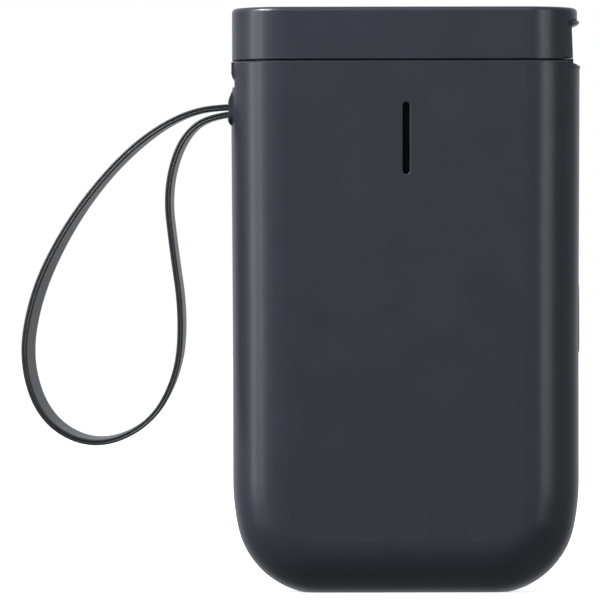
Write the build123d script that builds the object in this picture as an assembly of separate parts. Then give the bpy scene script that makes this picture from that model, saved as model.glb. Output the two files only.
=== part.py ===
from build123d import *
import math
import os

# Pocket label maker: an upright pebble-shaped case with a hinged lid, a label roll in an
# open-topped bay, a thermal head and a rubber platen at the exit, and a wrist strap.
# Millimetres. +Z is up, X is the width (hinge at -X, label exit at +X), the front is -Y.
# The origin is the middle of the base.

# ---- driving dimensions ----
CASE_HALF_WIDTH = 38.0
CASE_HALF_DEPTH = 13.75
CASE_TOP = 116.14
LID_BOTTOM = 116.52
LID_TOP = 127.9
LID_RIGHT = 37.7
EDGE_RADIUS = 12.0          # rounding of the case between its front, side and back faces
SIDE_ARC_RADIUS = 50.0      # wide arc that leads each straight side into its bottom corner
SIDE_ARC_TURN = math.radians(12.0)
BASE_CORNER_RADIUS = 18.5   # outline radius of the two bottom corners
WAIST_HALF_WIDTH = 37.9     # half width of the lower straight sides
LEAN_Z = 55.0               # height from which the sides lean out a little
LEAN = math.radians(0.33)
BASE_SINK = 0.4             # how far the outline's lowest line is cut away to stand flat
WALL = 1.8
LID_WALL = 1.6
SEAM_GAP = 0.12             # visible line between the front and rear shells
SEAM_STEP = 1.1             # overlap of the stepped joint behind that line

ROLL_Z = 91.0
ROLL_RADIUS = 17.8
ROLL_BORE = 6.3
LABEL_HALF_WIDTH = 7.5
BAY_RADIUS = 18.1
BAY_HALF_DEPTH = 8.2
BAY_WALL = 1.1

DECK_LOW = 114.2
DECK_HIGH = 115.6
WEB_Z = 116.7
WEB_THICKNESS = 0.2
NIP_X = 24.0
PLATEN_RADIUS = 3.8
PLATEN_Z = WEB_Z + WEB_THICKNESS / 2 + 0.05 + PLATEN_RADIUS
EXIT_HALF_WIDTH = 9.4
EXIT_TOP = 125.45
EXIT_FLOOR = 115.75         # top of the case wall in the exit
EXIT_FACE_X = 36.62         # flat that the label leaves through
EXIT_BEVEL = 1.5
SLIT_HALF_WIDTH = 9.75
SLIT_TOP = 117.0

HINGE_X = -36.3
HINGE_Z = 113.8
KNUCKLE_RADIUS = 1.85
HINGE_PIN_RADIUS = 0.8
HINGE_RECESS_HALF = 6.0

GEAR_MODULE = 0.5
PLATEN_TEETH = 14
IDLER_TEETH = 18
PINION_TEETH = 12
BACKLASH_SPREAD = 0.06      # extra distance between meshed gear axes
GEAR_Y0 = 9.5
GEAR_Y1 = 10.6
POST_RADIUS = 0.9
MOTOR_RADIUS = 5.5

STRAP_WIDTH = 7.0
STRAP_THICKNESS = 1.25
STRAP_SLOT_Z = 105.77
STRAP_SLOT_HALF = 1.45
ANCHOR_LOW = 102.3
ANCHOR_HIGH = 110.9
ANCHOR_HALF_WIDTH = 4.4

BUTTON_Z = 60.0
BATTERY_LOW = 22.0
BOARD_Y0 = 1.65
BOARD_Y1 = 2.65
BOARD_TOP = 68.5

# Wrist strap route in the XZ plane, from the upper slot end round the loop to the lower.
STRAP_ROUTE = [
    (-33.0, 106.43), (-39.3, 106.55), (-47.6, 105.3), (-56.9, 99.9), (-66.3, 90.8),
    (-74.9, 78.7), (-81.3, 65.0), (-83.6, 50.6), (-79.0, 37.6), (-68.0, 31.95),
    (-56.0, 36.7), (-49.7, 48.2), (-48.8, 61.3), (-50.8, 75.0), (-52.3, 88.2),
    (-48.9, 99.9), (-42.0, 105.05), (-33.1, 105.12),
]


REACH = 60.0                # farther than the case from its axis, for cutting blocks


# ---- shared shapes ----
def block(x0, x1, y0, y1, z0, z1):
    middle = ((x0 + x1) / 2, (y0 + y1) / 2, (z0 + z1) / 2)
    return Pos(*middle) * Box(x1 - x0, y1 - y0, z1 - z0)


def prism_y(face, y0, y1):
    """Extrude a face drawn in (x, z) from y0 to y1."""
    return extrude(Plane.XZ.offset(-y1) * face, amount=y1 - y0)


def rod_y(x, z, radius, y0, y1):
    return prism_y(Pos(x, z) * Circle(radius), y0, y1)


def tube_y(x, z, outer, inner, y0, y1):
    return rod_y(x, z, outer, y0, y1) - rod_y(x, z, inner, y0 - 1, y1 + 1)


def rod_x(y, z, radius, x0, x1):
    return Pos((x0 + x1) / 2, y, z) * Rot(0, 90, 0) * Cylinder(radius, x1 - x0)


def rod_z(x, y, radius, z0, z1):
    return Pos(x, y, (z0 + z1) / 2) * Cylinder(radius, z1 - z0)


def polygon(points):
    return make_face(Polyline(*points, close=True))


def section(inset, half_left=CASE_HALF_WIDTH, half_right=CASE_HALF_WIDTH):
    """Plan section of the case: a rounded rectangle, drawn inset from the outside."""
    width = half_left + half_right - 2 * inset
    depth = 2 * (CASE_HALF_DEPTH - inset)
    middle = (half_right - half_left) / 2
    return Pos(middle, 0) * RectangleRounded(width, depth, EDGE_RADIUS - inset)


def slab(inset, z0, z1, half_right=CASE_HALF_WIDTH):
    """Straight-sided length of the case section."""
    return Pos(0, 0, z0) * extrude(section(inset, half_right=half_right), z1 - z0)


def on_arc(centre, radius, angle):
    """Point of an arc in (x, z), at this angle below the horizontal."""
    return (centre[0] + radius * math.cos(angle), centre[1] - radius * math.sin(angle))


def flipped(points):
    return [(-x, z) for x, z in reversed(points)]


def pebble_outline(inset):
    """Front outline of the case: sides that lean out towards the top, then on each side a wide
    arc and the bottom corner."""
    waist = WAIST_HALF_WIDTH - inset
    rim = waist + (CASE_TOP - LEAN_Z) * math.tan(LEAN)
    spread = SIDE_ARC_RADIUS - BASE_CORNER_RADIUS
    corner_z = BASE_CORNER_RADIUS - BASE_SINK
    side_centre = (
        WAIST_HALF_WIDTH - SIDE_ARC_RADIUS, corner_z + spread * math.sin(SIDE_ARC_TURN)
    )
    corner_centre = (side_centre[0] + spread * math.cos(SIDE_ARC_TURN), corner_z)
    side_angles = (0, SIDE_ARC_TURN / 2, SIDE_ARC_TURN)
    corner_angles = (SIDE_ARC_TURN, (SIDE_ARC_TURN + math.pi / 2) / 2, math.pi / 2)
    side = [on_arc(side_centre, SIDE_ARC_RADIUS - inset, angle) for angle in side_angles]
    corner = [on_arc(corner_centre, BASE_CORNER_RADIUS - inset, angle) for angle in corner_angles]
    right = [(rim, CASE_TOP), (waist, LEAN_Z), side[0]]
    outline = Polyline(*flipped(right), *right)
    outline += ThreePointArc(*side)
    outline += ThreePointArc(*corner)
    outline += Line(corner[-1], flipped(corner)[0])
    outline += ThreePointArc(*flipped(corner))
    outline += ThreePointArc(*flipped(side))
    return make_face(outline)


def pebble(inset, z0, z1):
    """The case form with its rounded bottom corners, between two heights."""
    depth = CASE_HALF_DEPTH - inset
    body = prism_y(pebble_outline(inset), -depth, depth)
    rim = [e for e in body.edges() if abs(abs(e.center().Y) - depth) < 0.01]
    rim = [e for e in rim if e.center().Z < CASE_TOP - 0.01]
    body = fillet(rim, EDGE_RADIUS - inset)
    return body & block(-REACH, REACH, -REACH, REACH, z0, z1)


def screw(x, y, z, length, radius, direction):
    """Cross-recessed pan screw: its head's seat is at (x, y, z), its shank runs along -Z."""
    head_radius = radius * 1.9
    head_height = radius * 1.1
    body = Pos(0, 0, head_height / 2) * Cylinder(head_radius, head_height)
    body = fillet(body.edges().group_by(Axis.Z)[-1], head_height * 0.45)
    body += Pos(0, 0, -length / 2) * Cylinder(radius, length)
    slot = Box(head_radius * 1.2, radius * 0.45, head_height)
    cross = slot + Rot(0, 0, 90) * slot
    body -= Pos(0, 0, head_height) * cross
    return Plane((x, y, z), z_dir=direction) * body


def involute_flank(base_radius, start_radius, tip_radius, steps=6):
    """Points (radius, roll-off angle) of an involute from start_radius to tip_radius."""
    flank = []
    for i in range(steps + 1):
        radius = start_radius + (tip_radius - start_radius) * i / steps
        swing = math.acos(min(1.0, base_radius / radius))
        flank.append((radius, math.tan(swing) - swing))
    return flank


def gear_face(teeth, phase):
    """Involute spur gear outline with a tooth centred at the angle phase (radians)."""
    pitch_radius = GEAR_MODULE * teeth / 2
    pressure = math.radians(20)
    base_radius = pitch_radius * math.cos(pressure)
    root_radius = pitch_radius - 1.2 * GEAR_MODULE
    tip_radius = pitch_radius + 0.9 * GEAR_MODULE
    start_radius = max(base_radius, root_radius + 0.02)
    half_tooth = math.pi / (2 * teeth) + math.tan(pressure) - pressure
    flank = involute_flank(base_radius, start_radius, tip_radius)
    points = []
    for tooth in range(teeth):
        middle = phase + tooth * 2 * math.pi / teeth
        rising = [(root_radius, middle - half_tooth)]
        rising += [(r, middle - half_tooth + roll) for r, roll in flank]
        falling = [(r, 2 * middle - a) for r, a in reversed(rising)]
        points += [(r * math.cos(a), r * math.sin(a)) for r, a in rising + falling]
    return polygon(points)


def centre_distance(teeth_a, teeth_b):
    return GEAR_MODULE * (teeth_a + teeth_b) / 2 + BACKLASH_SPREAD


def mesh_phase(teeth_a, phase_a, teeth_b, direction):
    """Phase of gear b that meshes with gear a, where b lies from a at the angle direction."""
    radius_a = GEAR_MODULE * teeth_a / 2
    radius_b = GEAR_MODULE * teeth_b / 2
    half_pitch = math.pi * GEAR_MODULE / 2
    return direction + math.pi - (radius_a * (phase_a - direction) + half_pitch) / radius_b


# ---- gear train layout: each axis hangs from the one above it ----
TURN_TO_UPPER = -math.pi / 2 + 0.104
TURN_TO_LOWER = -math.pi / 2 - 0.05
TURN_TO_PINION = -math.pi / 2 + 0.38
PLATEN_PHASE = 0.0


def step_from(start, distance, angle):
    return (start[0] + distance * math.cos(angle), start[1] + distance * math.sin(angle))


PLATEN_AXIS = (NIP_X, PLATEN_Z)
UPPER_AXIS = step_from(PLATEN_AXIS, centre_distance(PLATEN_TEETH, IDLER_TEETH), TURN_TO_UPPER)
LOWER_AXIS = step_from(UPPER_AXIS, centre_distance(IDLER_TEETH, IDLER_TEETH), TURN_TO_LOWER)
MOTOR_AXIS = step_from(LOWER_AXIS, centre_distance(IDLER_TEETH, PINION_TEETH), TURN_TO_PINION)
UPPER_PHASE = mesh_phase(PLATEN_TEETH, PLATEN_PHASE, IDLER_TEETH, TURN_TO_UPPER)
LOWER_PHASE = mesh_phase(IDLER_TEETH, UPPER_PHASE, IDLER_TEETH, TURN_TO_LOWER)
PINION_PHASE = mesh_phase(IDLER_TEETH, LOWER_PHASE, PINION_TEETH, TURN_TO_PINION)


# ---- case shells ----
CASE_SCREWS = [(-27.0, 14.0), (27.0, 14.0), (-29.0, 84.0), (29.0, 84.0)]
DECK_SCREWS = [(-26.0, -7.6), (-26.0, 7.6)]
BOSS_RADIUS = 2.7
SCREW_RADIUS = 1.0
SLOT_X = 0.0
SLOT_LOW = 91.4
SLOT_HIGH = 107.1
SLOT_WIDTH = 1.55
SLOT_FLARE = 0.15


def slot_face(width):
    """Tall rounded slot of the sight window in the (x, z) plane."""
    height = SLOT_HIGH - SLOT_LOW
    middle = (SLOT_LOW + SLOT_HIGH) / 2
    return Pos(SLOT_X, middle) * Rot(0, 0, 90) * SlotOverall(height - SLOT_WIDTH + width, width)


def exit_plan(face_x):
    """Plan of the body behind the exit: flat in the middle, bevelled towards the case corners."""
    half = EXIT_HALF_WIDTH - 0.1
    bevel_x = face_x - EXIT_BEVEL
    flat = half - EXIT_BEVEL
    return polygon([
        (30, -half), (bevel_x, -half), (face_x, -flat), (face_x, flat), (bevel_x, half), (30, half)
    ])


def exit_cut():
    """Space of the label exit in the case wall: a floor, and a ramp that falls from it to the lip."""
    cut = slab(-3, 115.0, CASE_TOP + 1) - slab(2.6, 110, CASE_TOP + 2)
    ramp = polygon([
        (30, EXIT_FLOOR), (EXIT_FACE_X, EXIT_FLOOR), (38.5, 115.08), (44, 115.08), (44, 118), (30, 118)
    ])
    return cut & prism_y(ramp, -EXIT_HALF_WIDTH, EXIT_HALF_WIDTH)


def exit_lip():
    """Slightly proud lip under the label exit."""
    lip = slab(-0.35, 114.55, EXIT_FLOOR)
    lip = fillet(lip.edges().group_by(Axis.Z)[0], 0.3)
    lip -= slab(0.6, 110, 120)
    return lip & block(30, 44, -EXIT_HALF_WIDTH, EXIT_HALF_WIDTH, 114, 116.5)


def hinge_cut():
    """Shallow side recess round the lid's knuckle, and the pocket that it turns in."""
    half = HINGE_RECESS_HALF
    recess = slab(-3, 110.6, CASE_TOP + 1) - slab(0.65, 105, CASE_TOP + 2)
    recess &= block(-45, -30, -half, half, 110, 118)
    pocket_radius = KNUCKLE_RADIUS + 0.95
    pocket = rod_y(HINGE_X, HINGE_Z, pocket_radius, -half, half)
    pocket += block(-42, HINGE_X + pocket_radius, -half, half, HINGE_Z, CASE_TOP + 1)
    return recess + pocket


def anchor_cut():
    half = ANCHOR_HALF_WIDTH + 0.08
    return block(-42, -34, -half, half, ANCHOR_LOW - 0.08, ANCHOR_HIGH + 0.08)


def button_face(grow):
    return Rot(0, 0, 90) * SlotOverall(15 + 2 * grow, 5 + 2 * grow)


def side_plane():
    """Plane on the right side, its normal +X, its local y up, centred on the button."""
    return Plane((30, 0, BUTTON_Z), x_dir=(0, 1, 0), z_dir=(1, 0, 0))


LIGHT_Z = BUTTON_Z + 13.0
LIGHT_RADIUS = 0.8
RESET_X = 11.0


def case_openings():
    """Every opening that both shells share."""
    cuts = exit_cut()
    cuts += hinge_cut()
    cuts += anchor_cut()
    cuts += extrude(side_plane() * button_face(0.12), amount=12)
    cuts += rod_x(0, LIGHT_Z, LIGHT_RADIUS + 0.05, 30, 42)
    cuts += extrude(Plane.XY.offset(-1) * SlotOverall(9.6, 3.9), amount=6)
    cuts += rod_z(RESET_X, 0, 0.6, -1, 4)
    return cuts


def case_shell():
    shell = pebble(0, 0, CASE_TOP)
    shell = chamfer(shell.edges().group_by(Axis.Z)[-1], 0.25)
    shell -= pebble(WALL, WALL, CASE_TOP + 1)
    shell += exit_lip()
    return shell - case_openings()


def seam_ring(outer_inset):
    """Inner half of the wall, which one shell carries past the seam."""
    ring = pebble(outer_inset, 0.9, CASE_TOP - 2.5) - pebble(WALL, WALL, CASE_TOP + 1)
    ring &= block(-REACH, REACH, -SEAM_GAP / 2, SEAM_STEP, 0, CASE_TOP)
    return ring - case_openings()


def boss(x, z, y0, y1):
    inner = pebble(WALL / 2, WALL / 2, CASE_TOP)
    return rod_y(x, z, BOSS_RADIUS, y0, y1) & inner


def deck_post(x, y):
    """Post on the inside of a shell that takes a deck screw."""
    side = 1 if y > 0 else -1
    post = rod_z(x, y, 2.2, 102, DECK_LOW - 0.02)
    low, high = sorted((y, side * 12.6))
    post += block(x - 2.2, x + 2.2, low, high, 102, DECK_LOW - 0.02)
    post = chamfer(post.edges().group_by(Axis.Z)[0], 0.8)
    return post - rod_z(x, y, SCREW_RADIUS + 0.02, DECK_LOW - 6.5, DECK_LOW + 1)


def front_housing(shell):
    half = shell & block(-REACH, REACH, -REACH, -SEAM_GAP / 2, -1, 130)
    half += seam_ring(0.95)
    for x, z in CASE_SCREWS:
        half += boss(x, z, -13, -0.2)
        half -= rod_y(x, z, SCREW_RADIUS + 0.02, -7.5, 1)
    half += deck_post(*DECK_SCREWS[0])
    half -= prism_y(slot_face(SLOT_WIDTH), -20, -9)
    half -= prism_y(slot_face(SLOT_WIDTH + 1.6), -CASE_HALF_DEPTH + 1.0, -9)
    flare = extrude(
        Plane.XZ.offset(CASE_HALF_DEPTH - SLOT_FLARE) * slot_face(SLOT_WIDTH), amount=0.5, taper=-45
    )
    return half - flare


PLATE_WIDTH = 32.0
PLATE_HEIGHT = 24.0
PLATE_Z = 42.0
PLATE_DEPTH = 0.45


def plate_block(shrink, y1):
    """Rounded block of the rear plate or of the recess that holds it."""
    face = RectangleRounded(PLATE_WIDTH - shrink, PLATE_HEIGHT - shrink, 1.6)
    return prism_y(Pos(0, PLATE_Z) * face, CASE_HALF_DEPTH - PLATE_DEPTH, y1)


def rear_housing(shell):
    half = shell & block(-REACH, REACH, SEAM_GAP / 2, REACH, -1, 130)
    rebate = pebble(0.9, 0.9, CASE_TOP - 2.4) - pebble(WALL + 1, WALL + 1, CASE_TOP)
    half -= rebate & block(-REACH, REACH, -1, SEAM_STEP + 0.1, 0, CASE_TOP)
    for x, z in CASE_SCREWS:
        half += boss(x, z, 0.2, 13)
        half -= rod_y(x, z, SCREW_RADIUS + 0.1, -1, 20)
        half -= rod_y(x, z, 2.3, 10.4, 20)
    half += deck_post(*DECK_SCREWS[1])
    return half - plate_block(0, 20)


def rating_plate():
    """Blank plate set in the rear face."""
    return plate_block(0.2, CASE_HALF_DEPTH - 0.05)


def case_screws():
    return [screw(x, 10.4, z, 15.5, SCREW_RADIUS, (0, 1, 0)) for x, z in CASE_SCREWS]


def deck_screws():
    return [screw(x, y, DECK_HIGH, 5.5, SCREW_RADIUS, (0, 0, 1)) for x, y in DECK_SCREWS]


def sight_lens():
    """Tinted lens: a flange behind the slot and a lens body that fills it."""
    face_y = -CASE_HALF_DEPTH
    lens = prism_y(slot_face(SLOT_WIDTH - 0.06), face_y + 0.35, face_y + 1.05)
    return lens + prism_y(slot_face(SLOT_WIDTH + 1.4), face_y + 1.02, face_y + 2.0)


# ---- chassis with the label bay ----
def bay_profile(radius, top):
    return Pos(0, ROLL_Z) * Circle(radius) + polygon(
        [(-radius, ROLL_Z), (radius, ROLL_Z), (radius, top), (-radius, top)]
    )


def hinge_ears():
    """Two ears that hold the hinge pin, and the plate that closes the pocket behind them."""
    inner_y = 3.75
    outer_y = HINGE_RECESS_HALF - 0.15
    profile = Pos(HINGE_X, HINGE_Z) * Circle(KNUCKLE_RADIUS)
    profile += polygon([
        (HINGE_X, HINGE_Z - KNUCKLE_RADIUS), (-31, HINGE_Z - KNUCKLE_RADIUS),
        (-31, DECK_HIGH), (HINGE_X, HINGE_Z + KNUCKLE_RADIUS - 0.55),
    ])
    ears = prism_y(profile, -outer_y, -inner_y) + prism_y(profile, inner_y, outer_y)
    return ears + block(-33.2, -31, -outer_y, outer_y, 109.5, DECK_HIGH)


def head_cheeks():
    """Walls beside the print head that hold its pivot pin and the upper gear post."""
    cheeks = block(19, 32.4, -9.2, -BAY_HALF_DEPTH, 107.0, DECK_LOW + 0.1)
    return cheeks + block(19, 30.6, BAY_HALF_DEPTH, 9.2, 108.2, DECK_LOW + 0.1)


def exit_guide():
    """Table under the label on its way out, with a low rail on each side. Its top plate reaches
    over the case wall as far as the exit."""
    top = WEB_Z - WEB_THICKNESS / 2 - 0.06
    guide = slab(WALL + 0.2, 112.6, top) & block(32.2, 36.0, -8.0, 8.0, 100, 120)
    plate = extrude(Plane.XY.offset(EXIT_FLOOR + 0.08) * exit_plan(EXIT_FACE_X), top - EXIT_FLOOR - 0.08)
    guide += plate & block(33.0, 40, -REACH, REACH, 100, 120)
    for side in (-1, 1):
        guide += block(32.0, 33.3, side * 7.97 - 0.33, side * 7.97 + 0.33, 112.6, 117.3)
    return guide


def deck():
    """Plate that closes the case top round the mechanism, with the tongue for the lid."""
    plate = slab(WALL + 0.15, DECK_LOW, DECK_HIGH)
    tongue = slab(2.0, DECK_HIGH - 0.1, LID_BOTTOM + 0.9) - slab(2.9, 100, 130)
    tongue -= block(-45, -30, -4.3, 4.3, 110, 120)
    tongue -= block(20, 45, -9.3, 9.3, 110, 120)
    plate += tongue
    plate -= block(20.6, 32.2, -BAY_HALF_DEPTH, BAY_HALF_DEPTH, 110, 120)
    plate -= block(18.0, 32.4, -BAY_HALF_DEPTH, BAY_HALF_DEPTH, 113.8, 120)
    gear_reach = GEAR_MODULE * (IDLER_TEETH / 2 + 1) + 0.4
    plate -= rod_y(*UPPER_AXIS, gear_reach, GEAR_Y0 - 0.2, GEAR_Y1 + 0.15)
    return plate - block(-45, HINGE_X + 2.4, -3.7, 3.7, 110, 120)


def label_bay():
    outer = bay_profile(BAY_RADIUS + BAY_WALL, DECK_LOW + 0.1)
    inner = bay_profile(BAY_RADIUS, 125)
    wall_y = BAY_HALF_DEPTH + BAY_WALL - 0.1
    bay = prism_y(outer, -wall_y, wall_y) + deck()
    bay += hinge_ears()
    bay += head_cheeks()
    bay += exit_guide()
    bay -= prism_y(inner, -BAY_HALF_DEPTH, BAY_HALF_DEPTH)
    bay -= prism_y(slot_face(SLOT_WIDTH + 1.0), -12, -BAY_HALF_DEPTH + 1)
    for x, y in DECK_SCREWS:
        bay -= rod_z(x, y, SCREW_RADIUS + 0.1, 105, 120)
    bay -= rod_y(*HEAD_PIVOT, HEAD_PIN_RADIUS + 0.02, -10, 10)
    bay -= rod_y(*UPPER_AXIS, POST_RADIUS + 0.02, 8, 9.3)
    bay -= rod_y(HINGE_X, HINGE_Z, HINGE_PIN_RADIUS + 0.02, -10, 10)
    return bay


def hinge_pin():
    pin = rod_y(HINGE_X, HINGE_Z, HINGE_PIN_RADIUS, -5.75, 5.75)
    return chamfer(pin.edges().filter_by(GeomType.CIRCLE), 0.15)


# ---- print head ----
HEAD_PIVOT = (22.6, 112.9)
HEAD_PIN_RADIUS = 0.7
HEAD_HALF = 7.9
HEAD_TOP = WEB_Z - WEB_THICKNESS / 2 - 0.05
HEAD_X0 = 22.9
HEAD_X1 = 31.4
SPRING_X = 26.6
SPRING_YS = (-4.5, 4.5)
SPRING_LOW = 108.6
SPRING_HIGH = 113.6


def print_head():
    """Ceramic heater strip with a raised heater line under the platen."""
    strip = block(HEAD_X0, HEAD_X1, -HEAD_HALF, HEAD_HALF, HEAD_TOP - 0.8, HEAD_TOP - 0.08)
    half = LABEL_HALF_WIDTH
    line = block(NIP_X - 0.5, NIP_X + 0.5, -half, half, HEAD_TOP - 0.1, HEAD_TOP)
    return strip + chamfer(line.edges().group_by(Axis.Z)[-1].filter_by(Axis.Y), 0.06)


def head_heatsink():
    """Aluminium bar under the strip: pivot lug at one end, cooling grooves, spring seats."""
    top = HEAD_TOP - 0.8
    bar = block(21.4, HEAD_X1, -HEAD_HALF, HEAD_HALF, SPRING_HIGH - 0.4, top)
    bar += block(21.4, 23.9, -HEAD_HALF, HEAD_HALF, HEAD_PIVOT[1] - 1.2, top)
    bar -= block(20, HEAD_X0 - 0.1, -10, 10, top - 0.5, top + 1)
    for i in range(3):
        x = 28.4 + 1.0 * i
        bar -= block(x - 0.22, x + 0.22, -10, 10, SPRING_HIGH - 1, SPRING_HIGH + 0.9)
    for y in SPRING_YS:
        bar -= rod_z(SPRING_X, y, 1.35, SPRING_HIGH - 1, SPRING_HIGH + 0.05)
    return bar - rod_y(*HEAD_PIVOT, HEAD_PIN_RADIUS + 0.05, -10, 10)


def head_pivot_pin():
    return rod_y(*HEAD_PIVOT, HEAD_PIN_RADIUS, -9.15, 9.15)


def head_springs():
    springs = []
    for y in SPRING_YS:
        turns = 5
        height = SPRING_HIGH - SPRING_LOW - 0.4
        path = Helix(pitch=height / turns, height=height, radius=1.0)
        start = Plane(origin=path @ 0, z_dir=path % 0)
        coil = sweep(start * Circle(0.17), path=path)
        springs.append(Pos(SPRING_X, y, SPRING_LOW + 0.2) * coil)
    return springs


def spring_shelf():
    """Shelf under the head that carries its springs, fixed across the cheeks."""
    shelf = block(21.2, 31.8, -8.15, 8.15, SPRING_LOW - 1.2, SPRING_LOW)
    for y in SPRING_YS:
        shelf += rod_z(SPRING_X, y, 0.7, SPRING_LOW - 0.1, SPRING_LOW + 1.6)
    return shelf


# ---- drive ----
def gear(axis, teeth, phase, bore):
    body = prism_y(Pos(*axis) * gear_face(teeth, phase), GEAR_Y0, GEAR_Y1)
    return body - rod_y(*axis, bore, GEAR_Y0 - 1, GEAR_Y1 + 1)


def idler_gear(axis, phase):
    """Idler with a thinned web between its hub and its rim."""
    body = gear(axis, IDLER_TEETH, phase, POST_RADIUS + 0.05)
    groove = tube_y(*axis, 3.3, 1.9, GEAR_Y1 - 0.3, GEAR_Y1 + 1)
    return body - groove


def motor_plate():
    """Steel plate that holds the motor and the lower idler's post."""
    motor_x, motor_z = MOTOR_AXIS
    profile = polygon([
        (20.2, motor_z - 5.6), (motor_x + 4.6, motor_z - 5.6), (motor_x + 4.6, 107.9), (20.2, 107.9)
    ])
    plate = prism_y(fillet(profile.vertices(), 1.2), 8.3, 9.1)
    plate -= rod_y(motor_x, motor_z, 1.6, 5, 12)
    return plate - rod_y(*LOWER_AXIS, POST_RADIUS + 0.02, 5, 12)


def motor_can():
    motor_x, motor_z = MOTOR_AXIS
    can = rod_y(motor_x, motor_z, MOTOR_RADIUS, -5.5, 8.28)
    can = fillet(can.edges().group_by(Axis.Y)[0], 0.6)
    can -= rod_y(motor_x, motor_z, 1.2, 3, 10)
    groove = tube_y(motor_x, motor_z, MOTOR_RADIUS + 1, MOTOR_RADIUS - 0.3, 5.6, 5.9)
    can -= groove
    return can + block(motor_x - 3.2, motor_x + 3.2, -1.5, 4.5, motor_z - 6.6, motor_z - 4.8)


def motor_shaft():
    return rod_y(*MOTOR_AXIS, 0.6, 3.2, GEAR_Y1 + 0.1)


def motor_pinion():
    return gear(MOTOR_AXIS, PINION_TEETH, PINION_PHASE, 0.62)


def gear_posts():
    posts = []
    for axis, y0 in ((UPPER_AXIS, 8.3), (LOWER_AXIS, 8.35)):
        posts.append(rod_y(*axis, POST_RADIUS, y0, 11.3))
    return posts


# ---- label stock ----
def label_core():
    return tube_y(0, ROLL_Z, ROLL_BORE - 0.03, ROLL_BORE - 1.1, -7.6, 7.6)


def label_roll():
    return tube_y(0, ROLL_Z, ROLL_RADIUS, ROLL_BORE, -LABEL_HALF_WIDTH, LABEL_HALF_WIDTH)


def label_web():
    """The loose end of the label: straight off the top of the roll to the nip, then level
    to its torn end in the exit."""
    lift = ROLL_RADIUS + 0.25
    bend_x = NIP_X - 1.6
    reach = math.hypot(bend_x, WEB_Z - ROLL_Z)
    angle = math.atan2(WEB_Z - ROLL_Z, bend_x) + math.acos(lift / reach)
    start = (lift * math.cos(angle), ROLL_Z + lift * math.sin(angle))
    half = WEB_THICKNESS / 2
    line = [start, (bend_x, WEB_Z), (36.6, WEB_Z)]
    upper = [(x, z + half) for x, z in line]
    lower = [(x, z - half) for x, z in reversed(line)]
    return prism_y(polygon(upper + lower), -LABEL_HALF_WIDTH, LABEL_HALF_WIDTH)


# ---- lid ----
LID_SCREWS = [(-28.0, -6.0), (-28.0, 6.0), (14.0, 0.0)]
LID_TOP_ROUND = 1.0
LID_END_X = 33.6            # inside face of the solid block at the lid's right end
LID_END_HALF = 10.2
LIP_HALF_WIDTH = 8.2
TEAR_BAR_X0 = 34.95
TEAR_BAR_X1 = 35.45
TEAR_BAR_HALF = 8.0
FRAME_Z0 = 124.4
FRAME_Z1 = 125.5


def finger_lip():
    """Nose across the top of the exit window, for opening the lid: it tapers to its tip, and a
    narrow gap parts it from the wall above."""
    nose = polygon([
        (35.6, 125.1), (37.75, 125.1), (38.25, 124.75), (37.85, 124.3), (36.3, 123.8), (35.6, 123.8)
    ])
    nose = fillet(nose.vertices().sort_by(Axis.X)[-3:], 0.2)
    lip = prism_y(nose, -LIP_HALF_WIDTH, LIP_HALF_WIDTH)
    return lip & slab(-0.5, 120, 128, half_right=LID_RIGHT)


def lid_window_cut():
    """Exit window in the lid's end: its floor slants out towards the label."""
    slope = polygon([(28, EXIT_TOP + 1), (36.21, EXIT_TOP + 1), (EXIT_FACE_X, 116), (28, 116)])
    floor = extrude(exit_plan(EXIT_FACE_X), 140)
    floor &= prism_y(slope, -EXIT_HALF_WIDTH, EXIT_HALF_WIDTH)
    return block(30, 44, -EXIT_HALF_WIDTH, EXIT_HALF_WIDTH, 116, EXIT_TOP) - floor


def lid_shell():
    shell = slab(0, LID_BOTTOM, LID_TOP, half_right=LID_RIGHT)
    shell = fillet(shell.edges().group_by(Axis.Z)[-1], LID_TOP_ROUND)
    shell = chamfer(shell.edges().group_by(Axis.Z)[0], 0.1)
    cavity = slab(LID_WALL, 100, LID_TOP - LID_WALL, half_right=LID_RIGHT)
    cavity -= block(LID_END_X, 45, -LID_END_HALF, LID_END_HALF, 90, 140)
    shell -= cavity
    for x, y in LID_SCREWS:
        shell += rod_z(x, y, 2.2, FRAME_Z1 + 0.02, LID_TOP - 1)
        shell -= rod_z(x, y, 0.82, 100, LID_TOP - 1.1)
    shell -= lid_window_cut()
    shell += finger_lip()
    shell -= block(LID_END_X - 1, 40, -SLIT_HALF_WIDTH, SLIT_HALF_WIDTH, 116, SLIT_TOP)
    groove = TEAR_BAR_HALF + 0.05
    return shell - block(TEAR_BAR_X0 - 0.02, TEAR_BAR_X1 + 0.02, -groove, groove, 116, 118.45)


def tear_bar():
    """Serrated steel strip over the label, let into the lid's end from below."""
    pitch = 1.0
    teeth_z = 117.5
    bar = block(TEAR_BAR_X0, TEAR_BAR_X1, -TEAR_BAR_HALF, TEAR_BAR_HALF, teeth_z, 118.42)
    tooth = Plane.YZ.offset(TEAR_BAR_X0) * polygon([
        (-pitch / 2, teeth_z), (0, SLIT_TOP - 0.05), (pitch / 2, teeth_z)
    ])
    tooth = extrude(tooth, amount=TEAR_BAR_X1 - TEAR_BAR_X0)
    count = round(2 * TEAR_BAR_HALF / pitch)
    for i in range(count):
        bar += Pos(0, pitch / 2 - TEAR_BAR_HALF + i * pitch, 0) * tooth
    return bar


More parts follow.
